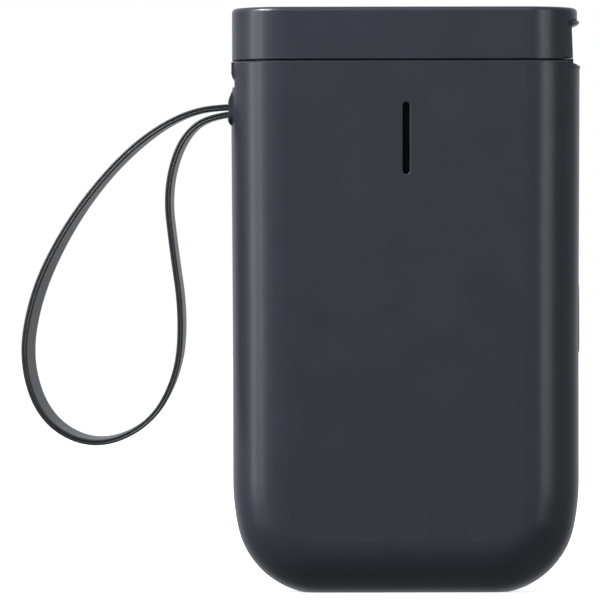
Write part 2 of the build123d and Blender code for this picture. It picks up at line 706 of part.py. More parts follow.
def lid_arm():
    """Hinge arm: the knuckle round the pin and the post that joins it to the frame."""
    profile = Pos(HINGE_X, HINGE_Z) * Circle(KNUCKLE_RADIUS)
    left = HINGE_X - KNUCKLE_RADIUS
    right = HINGE_X + KNUCKLE_RADIUS
    shoulder = LID_BOTTOM - 0.32
    post = HINGE_X + 0.1
    profile += polygon([(left, HINGE_Z), (right, HINGE_Z), (right, shoulder), (left, shoulder)])
    profile += polygon([(post, 115), (right, 115), (right, FRAME_Z1), (post, FRAME_Z1)])
    arm = prism_y(profile, -3.6, 3.6)
    return arm - rod_y(HINGE_X, HINGE_Z, HINGE_PIN_RADIUS + 0.05, -10, 10)


def lid_frame():
    plate = slab(LID_WALL + 0.2, FRAME_Z0, FRAME_Z1, half_right=LID_RIGHT)
    plate -= block(LID_END_X - 0.2, 45, -LID_END_HALF - 0.2, LID_END_HALF + 0.2, 90, 140)
    skirt = slab(3.4, 119.0, FRAME_Z0 + 0.1, half_right=LID_RIGHT)
    skirt -= slab(4.4, 90, 140, half_right=LID_RIGHT)
    skirt &= block(-31, 17, -20, 20, 90, 140)
    cheek_face = polygon([
        (NIP_X - 4.2, FRAME_Z1 - 0.1), (NIP_X + 4.2, FRAME_Z1 - 0.1),
        (NIP_X + 2.9, 117.9), (NIP_X - 2.9, 117.9),
    ])
    frame = plate + skirt
    frame += prism_y(cheek_face, 8.3, 9.2) + prism_y(cheek_face, -9.2, -8.3)
    frame -= prism_y(Pos(*PLATEN_AXIS) * Circle(PLATEN_RADIUS + 0.35), -8.0, 8.0)
    frame -= rod_y(*PLATEN_AXIS, BUSH_RADIUS + 0.02, -12, 12)
    gear_reach = GEAR_MODULE * (PLATEN_TEETH / 2 + 1) + 0.35
    frame -= rod_y(*PLATEN_AXIS, gear_reach, 9.3, 12)
    frame += lid_arm()
    for x, y in LID_SCREWS:
        frame -= rod_z(x, y, 0.95, 120, 130)
    return frame


def lid_screws():
    return [screw(x, y, FRAME_Z0, 2.3, 0.8, (0, 0, -1)) for x, y in LID_SCREWS]


# ---- platen ----
BUSH_RADIUS = 1.8
SHAFT_RADIUS = 1.0


def platen_shaft():
    shaft = rod_y(*PLATEN_AXIS, SHAFT_RADIUS, -9.9, GEAR_Y1 + 0.3)
    return chamfer(shaft.edges().filter_by(GeomType.CIRCLE), 0.15)


def platen_rubber():
    return tube_y(*PLATEN_AXIS, PLATEN_RADIUS, SHAFT_RADIUS + 0.01, -7.7, 7.7)


def platen_gear():
    return gear(PLATEN_AXIS, PLATEN_TEETH, PLATEN_PHASE, SHAFT_RADIUS + 0.01)


def platen_bushes():
    bushes = []
    for side in (-1, 1):
        low, high = sorted((side * 8.27, side * 9.3))
        bush = rod_y(*PLATEN_AXIS, BUSH_RADIUS, low, high)
        low, high = sorted((side * 7.85, side * 8.27))
        bush += rod_y(*PLATEN_AXIS, BUSH_RADIUS + 0.6, low, high)
        bushes.append(bush - rod_y(*PLATEN_AXIS, SHAFT_RADIUS + 0.05, -12, 12))
    return bushes


# ---- wrist strap ----
def strap_anchor():
    """Domed plug in the side wall, flanged inside, with a slot for the strap's two ends."""
    inner_x = -34.6
    profile = polygon([
        (inner_x, ANCHOR_LOW), (-38.1, ANCHOR_LOW), (-38.55, 102.75), (-38.9, 103.3),
        (-38.9, 107.3), (-38.6, 108.4), (-38.1, 109.7), (-37.4, ANCHOR_HIGH), (inner_x, ANCHOR_HIGH),
    ])
    plug = prism_y(profile, -ANCHOR_HALF_WIDTH, ANCHOR_HALF_WIDTH)
    plug &= slab(-0.95, ANCHOR_LOW - 1, ANCHOR_HIGH + 1)
    front = RectangleRounded(2 * ANCHOR_HALF_WIDTH, ANCHOR_HIGH - ANCHOR_LOW, 2.4)
    plane = Plane((-45, 0, (ANCHOR_LOW + ANCHOR_HIGH) / 2), x_dir=(0, 1, 0), z_dir=(1, 0, 0))
    plug &= extrude(plane * front, 15)
    flange = slab(WALL + 0.12, ANCHOR_LOW - 0.9, ANCHOR_HIGH - 1.4)
    plug += flange & block(-40, inner_x, -5.6, 5.6, 90, 120)
    low = STRAP_SLOT_Z - STRAP_SLOT_HALF
    high = STRAP_SLOT_Z + STRAP_SLOT_HALF
    slot = block(-45, -30, -3.75, 3.75, low, high)
    return plug - fillet(slot.edges().filter_by(Axis.X), 0.3)


def strap_clamp():
    """Steel clip that holds both strap ends behind the anchor."""
    clip = block(-34.5, -31.6, -4.6, 4.6, STRAP_SLOT_Z - 2.1, STRAP_SLOT_Z + 2.1)
    clip = fillet(clip.edges().filter_by(Axis.Y), 0.5)
    low = STRAP_SLOT_Z - STRAP_SLOT_HALF + 0.03
    high = STRAP_SLOT_Z + STRAP_SLOT_HALF - 0.03
    return clip - block(-36, -32.4, -3.6, 3.6, low, high)


def strap_radii():
    """Largest tangent arc at each corner: 0.45 of the shorter run over tan(half the turn)."""
    radii = []
    for before, corner, after in zip(STRAP_ROUTE, STRAP_ROUTE[1:], STRAP_ROUTE[2:]):
        run_in = Vector(corner[0] - before[0], corner[1] - before[1])
        run_out = Vector(after[0] - corner[0], after[1] - corner[1])
        turn = math.radians(run_in.get_angle(run_out))
        radii.append(0.45 * min(run_in.length, run_out.length) / math.tan(turn / 2))
    return radii


def wrist_strap():
    points = [(x, 0, z) for x, z in STRAP_ROUTE]
    radii = strap_radii()
    print("strap radii", [round(r, 1) for r in radii])
    route = FilletPolyline(*points, radius=radii)
    start = Plane(origin=route @ 0, x_dir=(0, 1, 0), z_dir=route % 0)
    band = sweep(start * Rectangle(STRAP_WIDTH, STRAP_THICKNESS), path=route)
    expected = STRAP_WIDTH * STRAP_THICKNESS * route.length
    print("strap length", round(route.length, 1), "volume ratio", round(band.volume / expected, 4))
    return band


# ---- electronics ----
RIBBON_X = 20.2
RIBBON_Y0 = -4.5
RIBBON_Y1 = 0.8


def main_board():
    board = block(-33, 33, BOARD_Y0, BOARD_Y1, 20.5, BOARD_TOP)
    board += block(-13, 16, BOARD_Y0, BOARD_Y1, 3.4, 21)
    return chamfer(board.edges().filter_by(Axis.Y), 0.6)


def board_chips():
    """Processor, driver, charger and memory packages on the back of the board."""
    back = BOARD_Y1
    chips = [
        block(-5, 5, back, back + 1.0, 40, 50),
        block(9, 14, back, back + 0.9, 42, 48),
        block(10, 16, back, back + 1.2, 54, 62),
        block(-4, 1, back, back + 0.8, 26, 30),
        block(-30, -24, back, back + 1.4, 26, 34),
    ]
    for i in range(4):
        chips.append(rod_y(20 + 3.6 * (i % 2), 28 + 6 * (i // 2), 1.5, back, back + 2.2))
    return chips


def radio_can():
    return fillet(block(-28, -12, BOARD_Y1, BOARD_Y1 + 2.0, 44, 60).edges().filter_by(Axis.Y), 0.6)


def usb_port():
    """Receptacle on the board's lower edge, its mouth at the base opening."""
    shell = Pos(0, 0, 1.0) * extrude(SlotOverall(8.94, 3.2), 7.3)
    shell -= Pos(0, 0, 0.5) * extrude(SlotOverall(8.34, 2.56), 6.6)
    return shell + block(-3.35, 3.35, -0.35, 0.35, 1.7, 7.4)


def power_switch():
    body = block(28.6, 33.0, -1.4, BOARD_Y0, BUTTON_Z - 3, BUTTON_Z + 3)
    return body + block(32.9, 33.9, -0.6, 0.8, BUTTON_Z - 1.1, BUTTON_Z + 1.1)


def status_led():
    return block(31.0, 33.0, 0.4, BOARD_Y0, LIGHT_Z - 6.3, LIGHT_Z - 4.9)


def light_pipe():
    """Clear rod from the lamp on the board to the side wall."""
    pipe = rod_x(0, LIGHT_Z, LIGHT_RADIUS, 34.4, CASE_HALF_WIDTH - 0.05)
    pipe += block(33.2, 34.6, -1.1, 1.1, LIGHT_Z - 6.6, LIGHT_Z + 1.2)
    return pipe


def power_button():
    """Flush pill in the side wall with an inner flange and a stem over the switch."""
    cap = extrude(side_plane() * button_face(0), amount=12)
    cap &= slab(-0.05, 40, 80)
    cap -= slab(WALL + 0.2, 30, 90)
    flange = extrude(side_plane() * button_face(0.8), amount=12)
    flange &= slab(WALL + 0.1, 40, 80)
    flange -= slab(WALL + 0.9, 30, 90)
    stem = block(34.35, 36.5, -0.9, 1.1, BUTTON_Z - 1.2, BUTTON_Z + 1.2)
    return cap + flange + stem


def battery():
    cell = block(-24.5, 24.5, -10.9, -2.6, BATTERY_LOW, 66)
    return fillet(cell.edges().filter_by(Axis.Z), 1.8)


def battery_pad():
    """Adhesive foam between the cell and the front wall."""
    return block(-18, 18, -CASE_HALF_DEPTH + WALL, -10.92, BATTERY_LOW + 6, 60)


def wire(points, radius, bends):
    route = FilletPolyline(*points, radius=bends)
    return sweep(Plane(origin=route @ 0, z_dir=route % 0) * Circle(radius), path=route)


def battery_leads():
    leads = []
    for i in range(2):
        x = -22.0 + 1.6 * i
        points = [(x, -6, 66), (x, -6, 67.6), (x - 3, 0.9, 67.6), (x - 3, 0.9, 62)]
        leads.append(wire(points, 0.45, 0.7))
    return leads


def battery_plug():
    return block(-26.8, -21.6, -0.6, BOARD_Y0, 58.4, 62)


def motor_leads():
    motor_x, motor_z = MOTOR_AXIS
    leads = []
    for i in range(4):
        x = motor_x - 1.8 + 1.2 * i
        low_x = x - 4.2
        points = [
            (x, 1.5, motor_z - 6.6), (x, 1.5, motor_z - 8), (low_x, 3.0, 85.4), (low_x, 3.0, 64)
        ]
        leads.append(wire(points, 0.35, 0.6))
    return leads


def motor_socket():
    motor_x = MOTOR_AXIS[0]
    return block(motor_x - 6.8, motor_x - 1.6, BOARD_Y1, BOARD_Y1 + 2.6, 60.4, 64)


def head_ribbon():
    """Flat flexible cable from the board up beside the bay to just short of the print head."""
    left = RIBBON_X
    right = RIBBON_X + 0.12
    outline = [
        (left, 68.3), (right, 68.3), (right, 111.4), (right + 0.6, 112.2), (left + 0.6, 112.2),
        (left, 111.4),
    ]
    return prism_y(polygon(outline), RIBBON_Y0, RIBBON_Y1)


def ribbon_socket():
    return block(RIBBON_X - 1.2, RIBBON_X + 1.3, RIBBON_Y0 - 0.3, BOARD_Y0, 66.3, 68.3)


def label_sensor():
    """Optical gap sensor under the web, beside the bay."""
    body = block(19.35, 21.0, 2, 6, 109.6, 113.6)
    return body + rod_z(20.2, 4, 0.5, 113.5, 114.1)


def tag_reader():
    """Reader board for the roll's tag, behind the bay."""
    board = block(-14, 14, 9.3, 10.1, 76, 104)
    trace = block(-12, 12, 10.05, 10.2, 78, 102) - block(-11, 11, 10, 11, 79, 101)
    return board + trace


def write(node, shape):
    if isinstance(shape, (list, tuple)):
        shape = Compound(children=list(shape))
    export_step(shape, f"parts/{node}.step")


def main():
    os.makedirs("parts", exist_ok=True)
    shell = case_shell()
    nodes = {
        "front_housing": front_housing(shell),
        "rear_housing": rear_housing(shell),
        "rating_plate": rating_plate(),
        "case_screws": case_screws(),
        "deck_screws": deck_screws(),
        "sight_lens": sight_lens(),
        "label_bay": label_bay(),
        "hinge_pin": hinge_pin(),
        "print_head": print_head(),
        "head_heatsink": head_heatsink(),
        "head_pivot_pin": head_pivot_pin(),
        "head_springs": head_springs(),
        "spring_shelf": spring_shelf(),
        "upper_idler_gear": idler_gear(UPPER_AXIS, UPPER_PHASE),
        "lower_idler_gear": idler_gear(LOWER_AXIS, LOWER_PHASE),
        "motor_plate": motor_plate(),
        "motor_can": motor_can(),
        "motor_shaft": motor_shaft(),
        "motor_pinion": motor_pinion(),
        "gear_posts": gear_posts(),
        "label_core": label_core(),
        "label_roll": label_roll(),
        "label_web": label_web(),
        "lid_shell": lid_shell(),
        "lid_frame": lid_frame(),
        "lid_screws": lid_screws(),
        "tear_bar": tear_bar(),
        "platen_shaft": platen_shaft(),
        "platen_rubber": platen_rubber(),
        "platen_gear": platen_gear(),
        "platen_bushes": platen_bushes(),
        "strap_anchor": strap_anchor(),
        "strap_clamp": strap_clamp(),
        "wrist_strap": wrist_strap(),
        "main_board": main_board(),
        "board_chips": board_chips(),
        "radio_can": radio_can(),
        "usb_port": usb_port(),
        "power_switch": power_switch(),
        "status_led": status_led(),
        "light_pipe": light_pipe(),
        "power_button": power_button(),
        "battery": battery(),
        "battery_pad": battery_pad(),
        "battery_leads": battery_leads(),
        "battery_plug": battery_plug(),
        "motor_leads": motor_leads(),
        "motor_socket": motor_socket(),
        "head_ribbon": head_ribbon(),
        "ribbon_socket": ribbon_socket(),
        "label_sensor": label_sensor(),
        "tag_reader": tag_reader(),
    }
    for node, shape in nodes.items():
        write(node, shape)


main()
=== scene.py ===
import math

import bmesh
import bpy
from mathutils import Matrix, Vector


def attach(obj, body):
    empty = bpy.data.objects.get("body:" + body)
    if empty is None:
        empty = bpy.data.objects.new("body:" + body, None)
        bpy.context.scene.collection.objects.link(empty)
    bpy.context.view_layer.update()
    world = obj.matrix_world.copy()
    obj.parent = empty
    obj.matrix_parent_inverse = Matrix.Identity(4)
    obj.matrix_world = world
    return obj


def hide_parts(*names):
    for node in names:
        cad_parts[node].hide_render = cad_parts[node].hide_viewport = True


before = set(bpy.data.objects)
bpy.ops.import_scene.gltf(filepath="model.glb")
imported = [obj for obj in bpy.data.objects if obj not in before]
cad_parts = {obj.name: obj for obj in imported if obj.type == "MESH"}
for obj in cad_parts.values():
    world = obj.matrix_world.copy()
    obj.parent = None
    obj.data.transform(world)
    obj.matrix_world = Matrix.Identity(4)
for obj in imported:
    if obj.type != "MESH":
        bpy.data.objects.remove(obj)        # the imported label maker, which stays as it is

MM = 0.001

# ---- camera: straight on, a little left of the case's middle and at half its height; the roll is in
# degrees
CAMERA_PLACE = Vector((-0.02318, -1.414, 0.06405))
CAMERA_ROLL = 0.10
CAMERA_LENS = 386.3
CAMERA_SENSOR = 36.0
CAMERA_CLIP = (0.05, 50.0)

# ---- wrist strap: two plies bonded face to face, 7 mm wide, held by both ends in the anchor
STRAP_ROUTE = [
    (-0.0330, 0.10643), (-0.0393, 0.10655), (-0.0476, 0.1053), (-0.0569, 0.0999), (-0.0663, 0.0908),
    (-0.0749, 0.0787), (-0.0813, 0.0650), (-0.0836, 0.0506), (-0.0790, 0.0376), (-0.0680, 0.03195),
    (-0.0560, 0.0367), (-0.0497, 0.0482), (-0.0488, 0.0613), (-0.0508, 0.0750), (-0.0523, 0.0882),
    (-0.0489, 0.0999), (-0.0420, 0.10505), (-0.0331, 0.10512),
]
STRAP_WIDTH = 7.0 * MM
STRAP_THICKNESS = 1.25 * MM
STRAP_EDGE_BULGE = 0.22 * MM
STRAP_EDGE_STEPS = 7
STRAP_FACE_STEPS = 10
STRAP_STEPS_PER_POINT = 14
# The turn of the band about its own line, in degrees, at shares of its length from the upper end.
# Above zero, the face inside the loop turns towards the front.
STRAP_TWIST = [
    (0.00, 0.0), (0.05, 0.0), (0.16, 6.0), (0.34, 14.0), (0.45, 15.0), (0.60, 0.0),
    (0.72, -6.0), (0.90, -6.0), (0.965, 0.0), (1.00, 0.0),
]

# ---- finishes
CASE_DARK = (0.0190, 0.0208, 0.0276)
CASE_LIGHT = (0.0219, 0.0240, 0.0315)
# the lid takes the case's tones made a little lighter: painted light, for the light that falls on the
# higher lid
LID_DARK = (0.0200, 0.0218, 0.0287)
LID_LIGHT = (0.0228, 0.0250, 0.0330)
CASE_ROUGHNESS = 0.31
# how far in from a sharp edge the painted highlight along the edges reaches
EDGE_HIGHLIGHT_RADIUS = 0.35 * MM
EDGE_AGREEMENT = (0.86, 0.97)   # how far the rounded and the flat normal agree: an edge, a plain face
FACING_LIMIT = 0.8
ROLL_CENTRE = (0.0, 0.091)
HEATER_LINE_X = 0.024
LEAD_PITCH = 3.2 * MM

# ---- studio: softboxes round the object, as (turn from the camera's axis, height above the
# horizon, distance, width, height, power); turns are in degrees, positive to the right
AIM_HEIGHT = 0.064
SOFTBOXES = {
    "key_left": (-58.0, 12.0, 0.9, 0.10, 0.60, 1.0),
    "key_side": (-76.0, 10.0, 0.9, 0.12, 0.60, 1.4),
    "key_high": (-60.0, 42.0, 0.9, 0.20, 0.30, 15.0),
    "fill_right": (42.0, 10.0, 1.0, 0.12, 0.60, 1.1),
    "fill_side": (54.0, 10.0, 1.0, 0.12, 0.60, 0.65),
    "front_top": (-10.0, 48.0, 1.1, 0.90, 0.60, 1.6),
}
SOFTBOX_TINT = (0.98, 0.98, 1.0)
BACKDROP_FULL_ANGLE = 38.0
BACKDROP_EDGE_ANGLE = 54.0
BACKDROP_BRIGHTNESS = 0.4
ROOM_ABOVE = 0.44
ROOM_BELOW = 0.26
ROOM_BLEND = 0.35
ROOM_TINT = (0.88, 0.94, 1.0, 1.0)
FLOOR_HALF_SIZE = 6.0
FLOOR_GLOW = 0.75


# ---------------------------------------------------------------- camera

def make_camera():
    """The main camera, which looks straight back along +Y with a very slight roll."""
    data = bpy.data.cameras.new("camera")
    data.lens = CAMERA_LENS
    data.sensor_width = CAMERA_SENSOR
    data.clip_start, data.clip_end = CAMERA_CLIP
    camera = bpy.data.objects.new("camera", data)
    camera.location = CAMERA_PLACE
    camera.rotation_euler = (math.radians(90.0), math.radians(CAMERA_ROLL), 0.0)
    bpy.context.scene.collection.objects.link(camera)
    bpy.context.scene.camera = camera
    bpy.context.scene.view_settings.view_transform = "Standard"


# ---------------------------------------------------------------- wrist strap

def smooth_line(route, steps):
    """Points along the NURBS spline that has the route's points as its control points."""
    data = bpy.data.curves.new("route", "CURVE")
    data.dimensions = "3D"
    data.resolution_u = steps
    spline = data.splines.new("NURBS")
    spline.points.add(len(route) - 1)
    for point, (x, z) in zip(spline.points, route):
        point.co = (x, 0.0, z, 1.0)
    spline.order_u = 3
    spline.use_endpoint_u = True
    helper = bpy.data.objects.new("route", data)
    bpy.context.scene.collection.objects.link(helper)
    depsgraph = bpy.context.evaluated_depsgraph_get()
    mesh = bpy.data.meshes.new_from_object(helper.evaluated_get(depsgraph))
    line = [vertex.co.copy() for vertex in mesh.vertices]
    bpy.data.meshes.remove(mesh)
    bpy.data.objects.remove(helper)
    bpy.data.curves.remove(data)
    return line


def eased(share, stops):
    """The value at a share of the length, eased from each stop to the next."""
    for (start, low), (end, high) in zip(stops, stops[1:]):
        if share <= end:
            t = (share - start) / (end - start)
            return low + (high - low) * t * t * (3.0 - 2.0 * t)
    return stops[-1][1]


def strap_section():
    """The band's outline as (across, through) points, and for each point whether its run to the
    next lies on a sealed edge. Each edge shows both plies as two bulges with a fine line between."""
    half_width = STRAP_WIDTH / 2 - STRAP_EDGE_BULGE
    ply = STRAP_THICKNESS / 4
    outline = []
    for side in (1.0, -1.0):
        for middle in (-ply * side, ply * side):
            for step in range(STRAP_EDGE_STEPS + 1):
                angle = math.pi * (step / STRAP_EDGE_STEPS - 0.5)
                across = side * (half_width + STRAP_EDGE_BULGE * math.cos(angle))
                outline.append((across, middle + side * ply * math.sin(angle), True))
        last = outline.pop()
        for step in range(STRAP_FACE_STEPS):
            across = last[0] * (1.0 - 2.0 * step / STRAP_FACE_STEPS)
            outline.append((across, last[1], False))
    return outline


def strap_rings(line):
    """One ring of points round each point of the line, turned by the band's twist."""
    lengths = [0.0]
    for a, b in zip(line, line[1:]):
        lengths.append(lengths[-1] + (b - a).length)
    section = strap_section()
    rings = []
    for index, centre in enumerate(line):
        before = line[max(index - 1, 0)]
        after = line[min(index + 1, len(line) - 1)]
        along = (after - before).normalized()
        twist = math.radians(eased(lengths[index] / lengths[-1], STRAP_TWIST))
        inward = Vector((-along.z, 0.0, along.x))
        across = Vector((0.0, math.cos(twist), 0.0)) + inward * math.sin(twist)
        through = inward * math.cos(twist) - Vector((0.0, math.sin(twist), 0.0))
        rings.append([centre + across * a + through * t for a, t, _ in section])
    return rings


def make_strap():
    """The looped wrist strap, which stands for the plain band of the CAD model."""
    line = smooth_line(STRAP_ROUTE, STRAP_STEPS_PER_POINT)
    on_edge = [edge for _, _, edge in strap_section()]
    count = len(on_edge)
    mesh = bpy.data.meshes.new("strap_band")
    work = bmesh.new()
    rings = [[work.verts.new(p) for p in ring] for ring in strap_rings(line)]
    for ring, following in zip(rings, rings[1:]):
        for k in range(count):
            n = (k + 1) % count
            face = work.faces.new((ring[k], ring[n], following[n], following[k]))
            face.smooth = True
            face.material_index = 1 if on_edge[k] else 0
    for cap in (rings[0][::-1], rings[-1]):
        work.faces.new(cap).material_index = 1
    bmesh.ops.recalc_face_normals(work, faces=work.faces)
    work.to_mesh(mesh)
    work.free()
    strap = bpy.data.objects.new("strap_band", mesh)
    bpy.context.scene.collection.objects.link(strap)
    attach(strap, "housing")
    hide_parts("wrist_strap")
    return strap


# ---------------------------------------------------------------- materials

class Finish:
    """One procedural material: a Principled shader, and the nodes that vary its colour, roughness
    and relief over the object's own space. Sizes are in metres."""

    def __init__(self, name, roughness, **sockets):
        self.name = name     # kept apart, since the frame already has a material of this name
        self.material = bpy.data.materials.new(name + "_finish")
        self.material.use_nodes = True
        self.tree = self.material.node_tree
        self.shader = self.tree.nodes["Principled BSDF"]
        self.shader.inputs["Roughness"].default_value = roughness
        for socket, value in sockets.items():
            self.shader.inputs[socket.replace("_", " ")].default_value = value
        self.space = self.node("ShaderNodeTexCoord").outputs["Object"]
        self.relief = None

    def node(self, kind, **settings):
        made = self.tree.nodes.new(kind)
        for key, value in settings.items():
            setattr(made, key, value)
        return made

    def join(self, source, target):
        self.tree.links.new(source, target)

    def stretched(self, stretch):
        """The object's space, squeezed so that a pattern runs long where the stretch is above 1."""
        mapping = self.node("ShaderNodeMapping")
        mapping.inputs["Scale"].default_value = [1.0 / s for s in stretch]
        self.join(self.space, mapping.inputs["Vector"])
        return mapping.outputs["Vector"]

    def noise(self, size, detail=3.0, stretch=(1, 1, 1)):
        """Cloudy variation with features of about this size."""
        made = self.node("ShaderNodeTexNoise")
        made.inputs["Scale"].default_value = 1.0 / size
        made.inputs["Detail"].default_value = detail
        self.join(self.stretched(stretch), made.inputs["Vector"])
        return made.outputs["Fac"]

    def cells(self, size, stretch=(1, 1, 1)):
        """Small closed cells, as in leather grain or foam."""
        made = self.node("ShaderNodeTexVoronoi", feature="F1")
        made.inputs["Scale"].default_value = 1.0 / size
        self.join(self.stretched(stretch), made.inputs["Vector"])
        return made.outputs["Distance"]

    def lines(self, size, axis, wobble=0.0):
        """Even lines across one axis, this far apart."""
        made = self.node("ShaderNodeTexWave", wave_type="BANDS", bands_direction=axis)
        made.inputs["Scale"].default_value = math.pi / 10.0 / size
        made.inputs["Distortion"].default_value = wobble
        self.join(self.space, made.inputs["Vector"])
        return made.outputs["Fac"]

    def ramp(self, source, low, high, start=0.3, end=0.7):
        """Turns a pattern into a colour or a grey, from low at start to high at end."""
        made = self.node("ShaderNodeValToRGB")
        for element, place, value in zip(made.color_ramp.elements, (start, end), (low, high)):
            element.position = place
            element.color = (*value, 1.0) if isinstance(value, tuple) else (value, value, value, 1.0)
        self.join(source, made.inputs["Fac"])
        return made.outputs["Color"]

    def blend(self, factor, first, second):
        """First where the factor is 0, second where it is 1."""
        made = self.node("ShaderNodeMix", data_type="RGBA")
        self.join(factor, made.inputs["Factor"])
        self.join(first, made.inputs["A"])
        self.join(second, made.inputs["B"])
        return made.outputs["Result"]

    def axis(self, name):
        """One coordinate of the object's own space."""
        split = self.node("ShaderNodeSeparateXYZ")
        self.join(self.space, split.inputs["Vector"])
        return split.outputs[name]

    def math(self, operation, first, second):
        """Arithmetic between a pattern and a number or another pattern."""
        made = self.node("ShaderNodeMath", operation=operation)
        self.join(first, made.inputs[0])
        if isinstance(second, float):
            made.inputs[1].default_value = second
        else:
            self.join(second, made.inputs[1])
        return made.outputs["Value"]

    def band(self, axis, centre, half):
        """1 within half of the centre along the axis, and 0 outside."""
        size = self.node("ShaderNodeMath", operation="ABSOLUTE")
        self.join(self.math("SUBTRACT", self.axis(axis), centre), size.inputs[0])
        return self.math("LESS_THAN", size.outputs["Value"], half)

    def rings(self, centre, pitch):
        """Even rings round an axis along Y through the centre, given as (x, z)."""
        made = self.node("ShaderNodeTexWave", wave_type="RINGS", rings_direction="Y")
        made.inputs["Scale"].default_value = math.pi / 10.0 / pitch
        shift = self.node("ShaderNodeMapping")
        shift.inputs["Location"].default_value = (-centre[0], 0.0, -centre[1])
        self.join(self.space, shift.inputs["Vector"])
        self.join(shift.outputs["Vector"], made.inputs["Vector"])
        return made.outputs["Fac"]

    def facing_y(self):
        """1 on faces that look along Y, and 0 on the others."""
        place = self.node("ShaderNodeTexCoord")
        split = self.node("ShaderNodeSeparateXYZ")
        self.join(place.outputs["Normal"], split.inputs["Vector"])
        steep = self.node("ShaderNodeMath", operation="ABSOLUTE")
        self.join(split.outputs["Y"], steep.inputs[0])
        return self.math("GREATER_THAN", steep.outputs["Value"], FACING_LIMIT)

    def edges(self, radius):
        """1 on the object's sharp edges, fading to 0 on its plain faces."""
        rounded = self.node("ShaderNodeBevel", samples=4)
        rounded.inputs["Radius"].default_value = radius
        flat = self.node("ShaderNodeNewGeometry")
        agree = self.node("ShaderNodeVectorMath", operation="DOT_PRODUCT")
        self.join(rounded.outputs["Normal"], agree.inputs[0])
        self.join(flat.outputs["Normal"], agree.inputs[1])
        return self.ramp(agree.outputs["Value"], 1.0, 0.0, *EDGE_AGREEMENT)

    def colour(self, source):
        self.join(source, self.shader.inputs["Base Color"])

    def rough(self, source, low, high):
        """Roughness from low to high over the pattern."""
        made = self.node("ShaderNodeMapRange")
        made.inputs["To Min"].default_value = low
        made.inputs["To Max"].default_value = high
        self.join(source, made.inputs["Value"])
        self.join(made.outputs["Result"], self.shader.inputs["Roughness"])

    def bump(self, source, depth):
        """Relief this deep, on top of any relief that is already there."""
        made = self.node("ShaderNodeBump")
        made.inputs["Distance"].default_value = depth
        self.join(source, made.inputs["Height"])
        if self.relief is not None:
            self.join(self.relief, made.inputs["Normal"])
        self.relief = made.outputs["Normal"]
        self.join(self.relief, self.shader.inputs["Normal"])


def moulded(name, dark, light, roughness, grain=0.22 * MM, relief=0.006 * MM):
    """Injection-moulded plastic: a fine spark-eroded grain, faint flow clouds, and a painted
    highlight, with the sharp edges painted lighter."""
    finish = Finish(name, roughness)
    base = finish.ramp(finish.noise(9 * MM, 4.0), dark, light)
    # the sharp edges are painted lighter: a painted highlight along every edge of the part
    edge = finish.edges(EDGE_HIGHLIGHT_RADIUS)
    highlight_tones = [tuple(gain * c for c in light) for gain in (1.25, 1.6)]
    painted_edge_highlight = finish.ramp(finish.noise(2 * MM), *highlight_tones)
    finish.colour(finish.blend(edge, base, painted_edge_highlight))
    finish.rough(finish.noise(1.6 * MM, 5.0), roughness - 0.05, roughness + 0.05)
    finish.bump(finish.noise(grain, 2.0), relief)
    return finish


def metal(name, dark, light, roughness, stretch, scratch=0.25 * MM, relief=0.003 * MM):
    """Bare metal with the fine marks of turning, rolling or drawing, long in one direction."""
    finish = Finish(name, roughness, Metallic=1.0)
    marks = finish.noise(scratch, 4.0, stretch)
    finish.colour(finish.ramp(finish.noise(3 * MM, 3.0), dark, light))
    finish.rough(marks, roughness - 0.1, roughness + 0.12)
    finish.bump(marks, relief)
    return finish


def lens_finish():
    """Smoked clear plastic over the dark bay: almost black, glossy, with a breath of haze."""
    finish = Finish("lens", 0.06, IOR=1.49)
    finish.colour(finish.ramp(finish.noise(4 * MM), (0.0008, 0.0008, 0.001), (0.0016, 0.0016, 0.002)))
    finish.rough(finish.noise(0.8 * MM, 4.0), 0.04, 0.10)
    finish.bump(finish.noise(1.5 * MM, 1.0), 0.001 * MM)
    finish.shader.inputs["Specular IOR Level"].default_value = 0.06
    return finish


def foil_finish():
    """Blank satin foil with a brushed face and a faint weave of its liner showing through."""
    finish = Finish("plate", 0.4)
    brush = finish.noise(0.12 * MM, 4.0, (12, 1, 1))
    finish.colour(finish.ramp(brush, (0.022, 0.022, 0.025), (0.034, 0.034, 0.038)))
    finish.rough(brush, 0.34, 0.5)
    finish.bump(finish.cells(0.9 * MM), 0.004 * MM)
    return finish


def strap_face_finish():
    """Coated strap: closed leather-like cells over a soft wave, slick enough to take a sheen."""
    finish = Finish("strap", 0.34)
    finish.colour(finish.ramp(finish.noise(3 * MM, 5.0), (0.012, 0.012, 0.014), (0.020, 0.020, 0.023)))
    finish.rough(finish.noise(0.7 * MM, 4.0), 0.28, 0.40)
    finish.bump(finish.cells(0.32 * MM), 0.006 * MM)
    finish.bump(finish.noise(4 * MM, 2.0), 0.02 * MM)
    return finish


def strap_edge_finish():
    """Sealed edge paint over the two plies, a little uneven and rougher than the faces."""
    finish = Finish("strap_edge", 0.5)
    finish.colour(finish.ramp(finish.noise(1.2 * MM, 5.0), (0.006, 0.006, 0.007), (0.013, 0.013, 0.015)))
    finish.rough(finish.noise(0.6 * MM, 4.0), 0.44, 0.6)
    finish.bump(finish.noise(0.5 * MM, 3.0), 0.02 * MM)
    return finish


def paper_finish():
    """White label stock: soft fibres everywhere, and wound layers on the sides of the roll."""
    finish = Finish("paper", 0.7)
    fibres = finish.noise(0.35 * MM, 6.0, (3, 1, 1))
    plain = finish.ramp(fibres, (0.86, 0.86, 0.85), (0.92, 0.92, 0.91))
    layers = finish.rings(ROLL_CENTRE, 0.16 * MM)
    wound = finish.ramp(layers, (0.60, 0.59, 0.57), (0.88, 0.88, 0.86), 0.1, 0.6)
    finish.colour(finish.blend(finish.facing_y(), plain, wound))
    finish.rough(fibres, 0.62, 0.8)
    finish.bump(fibres, 0.006 * MM)
    return finish


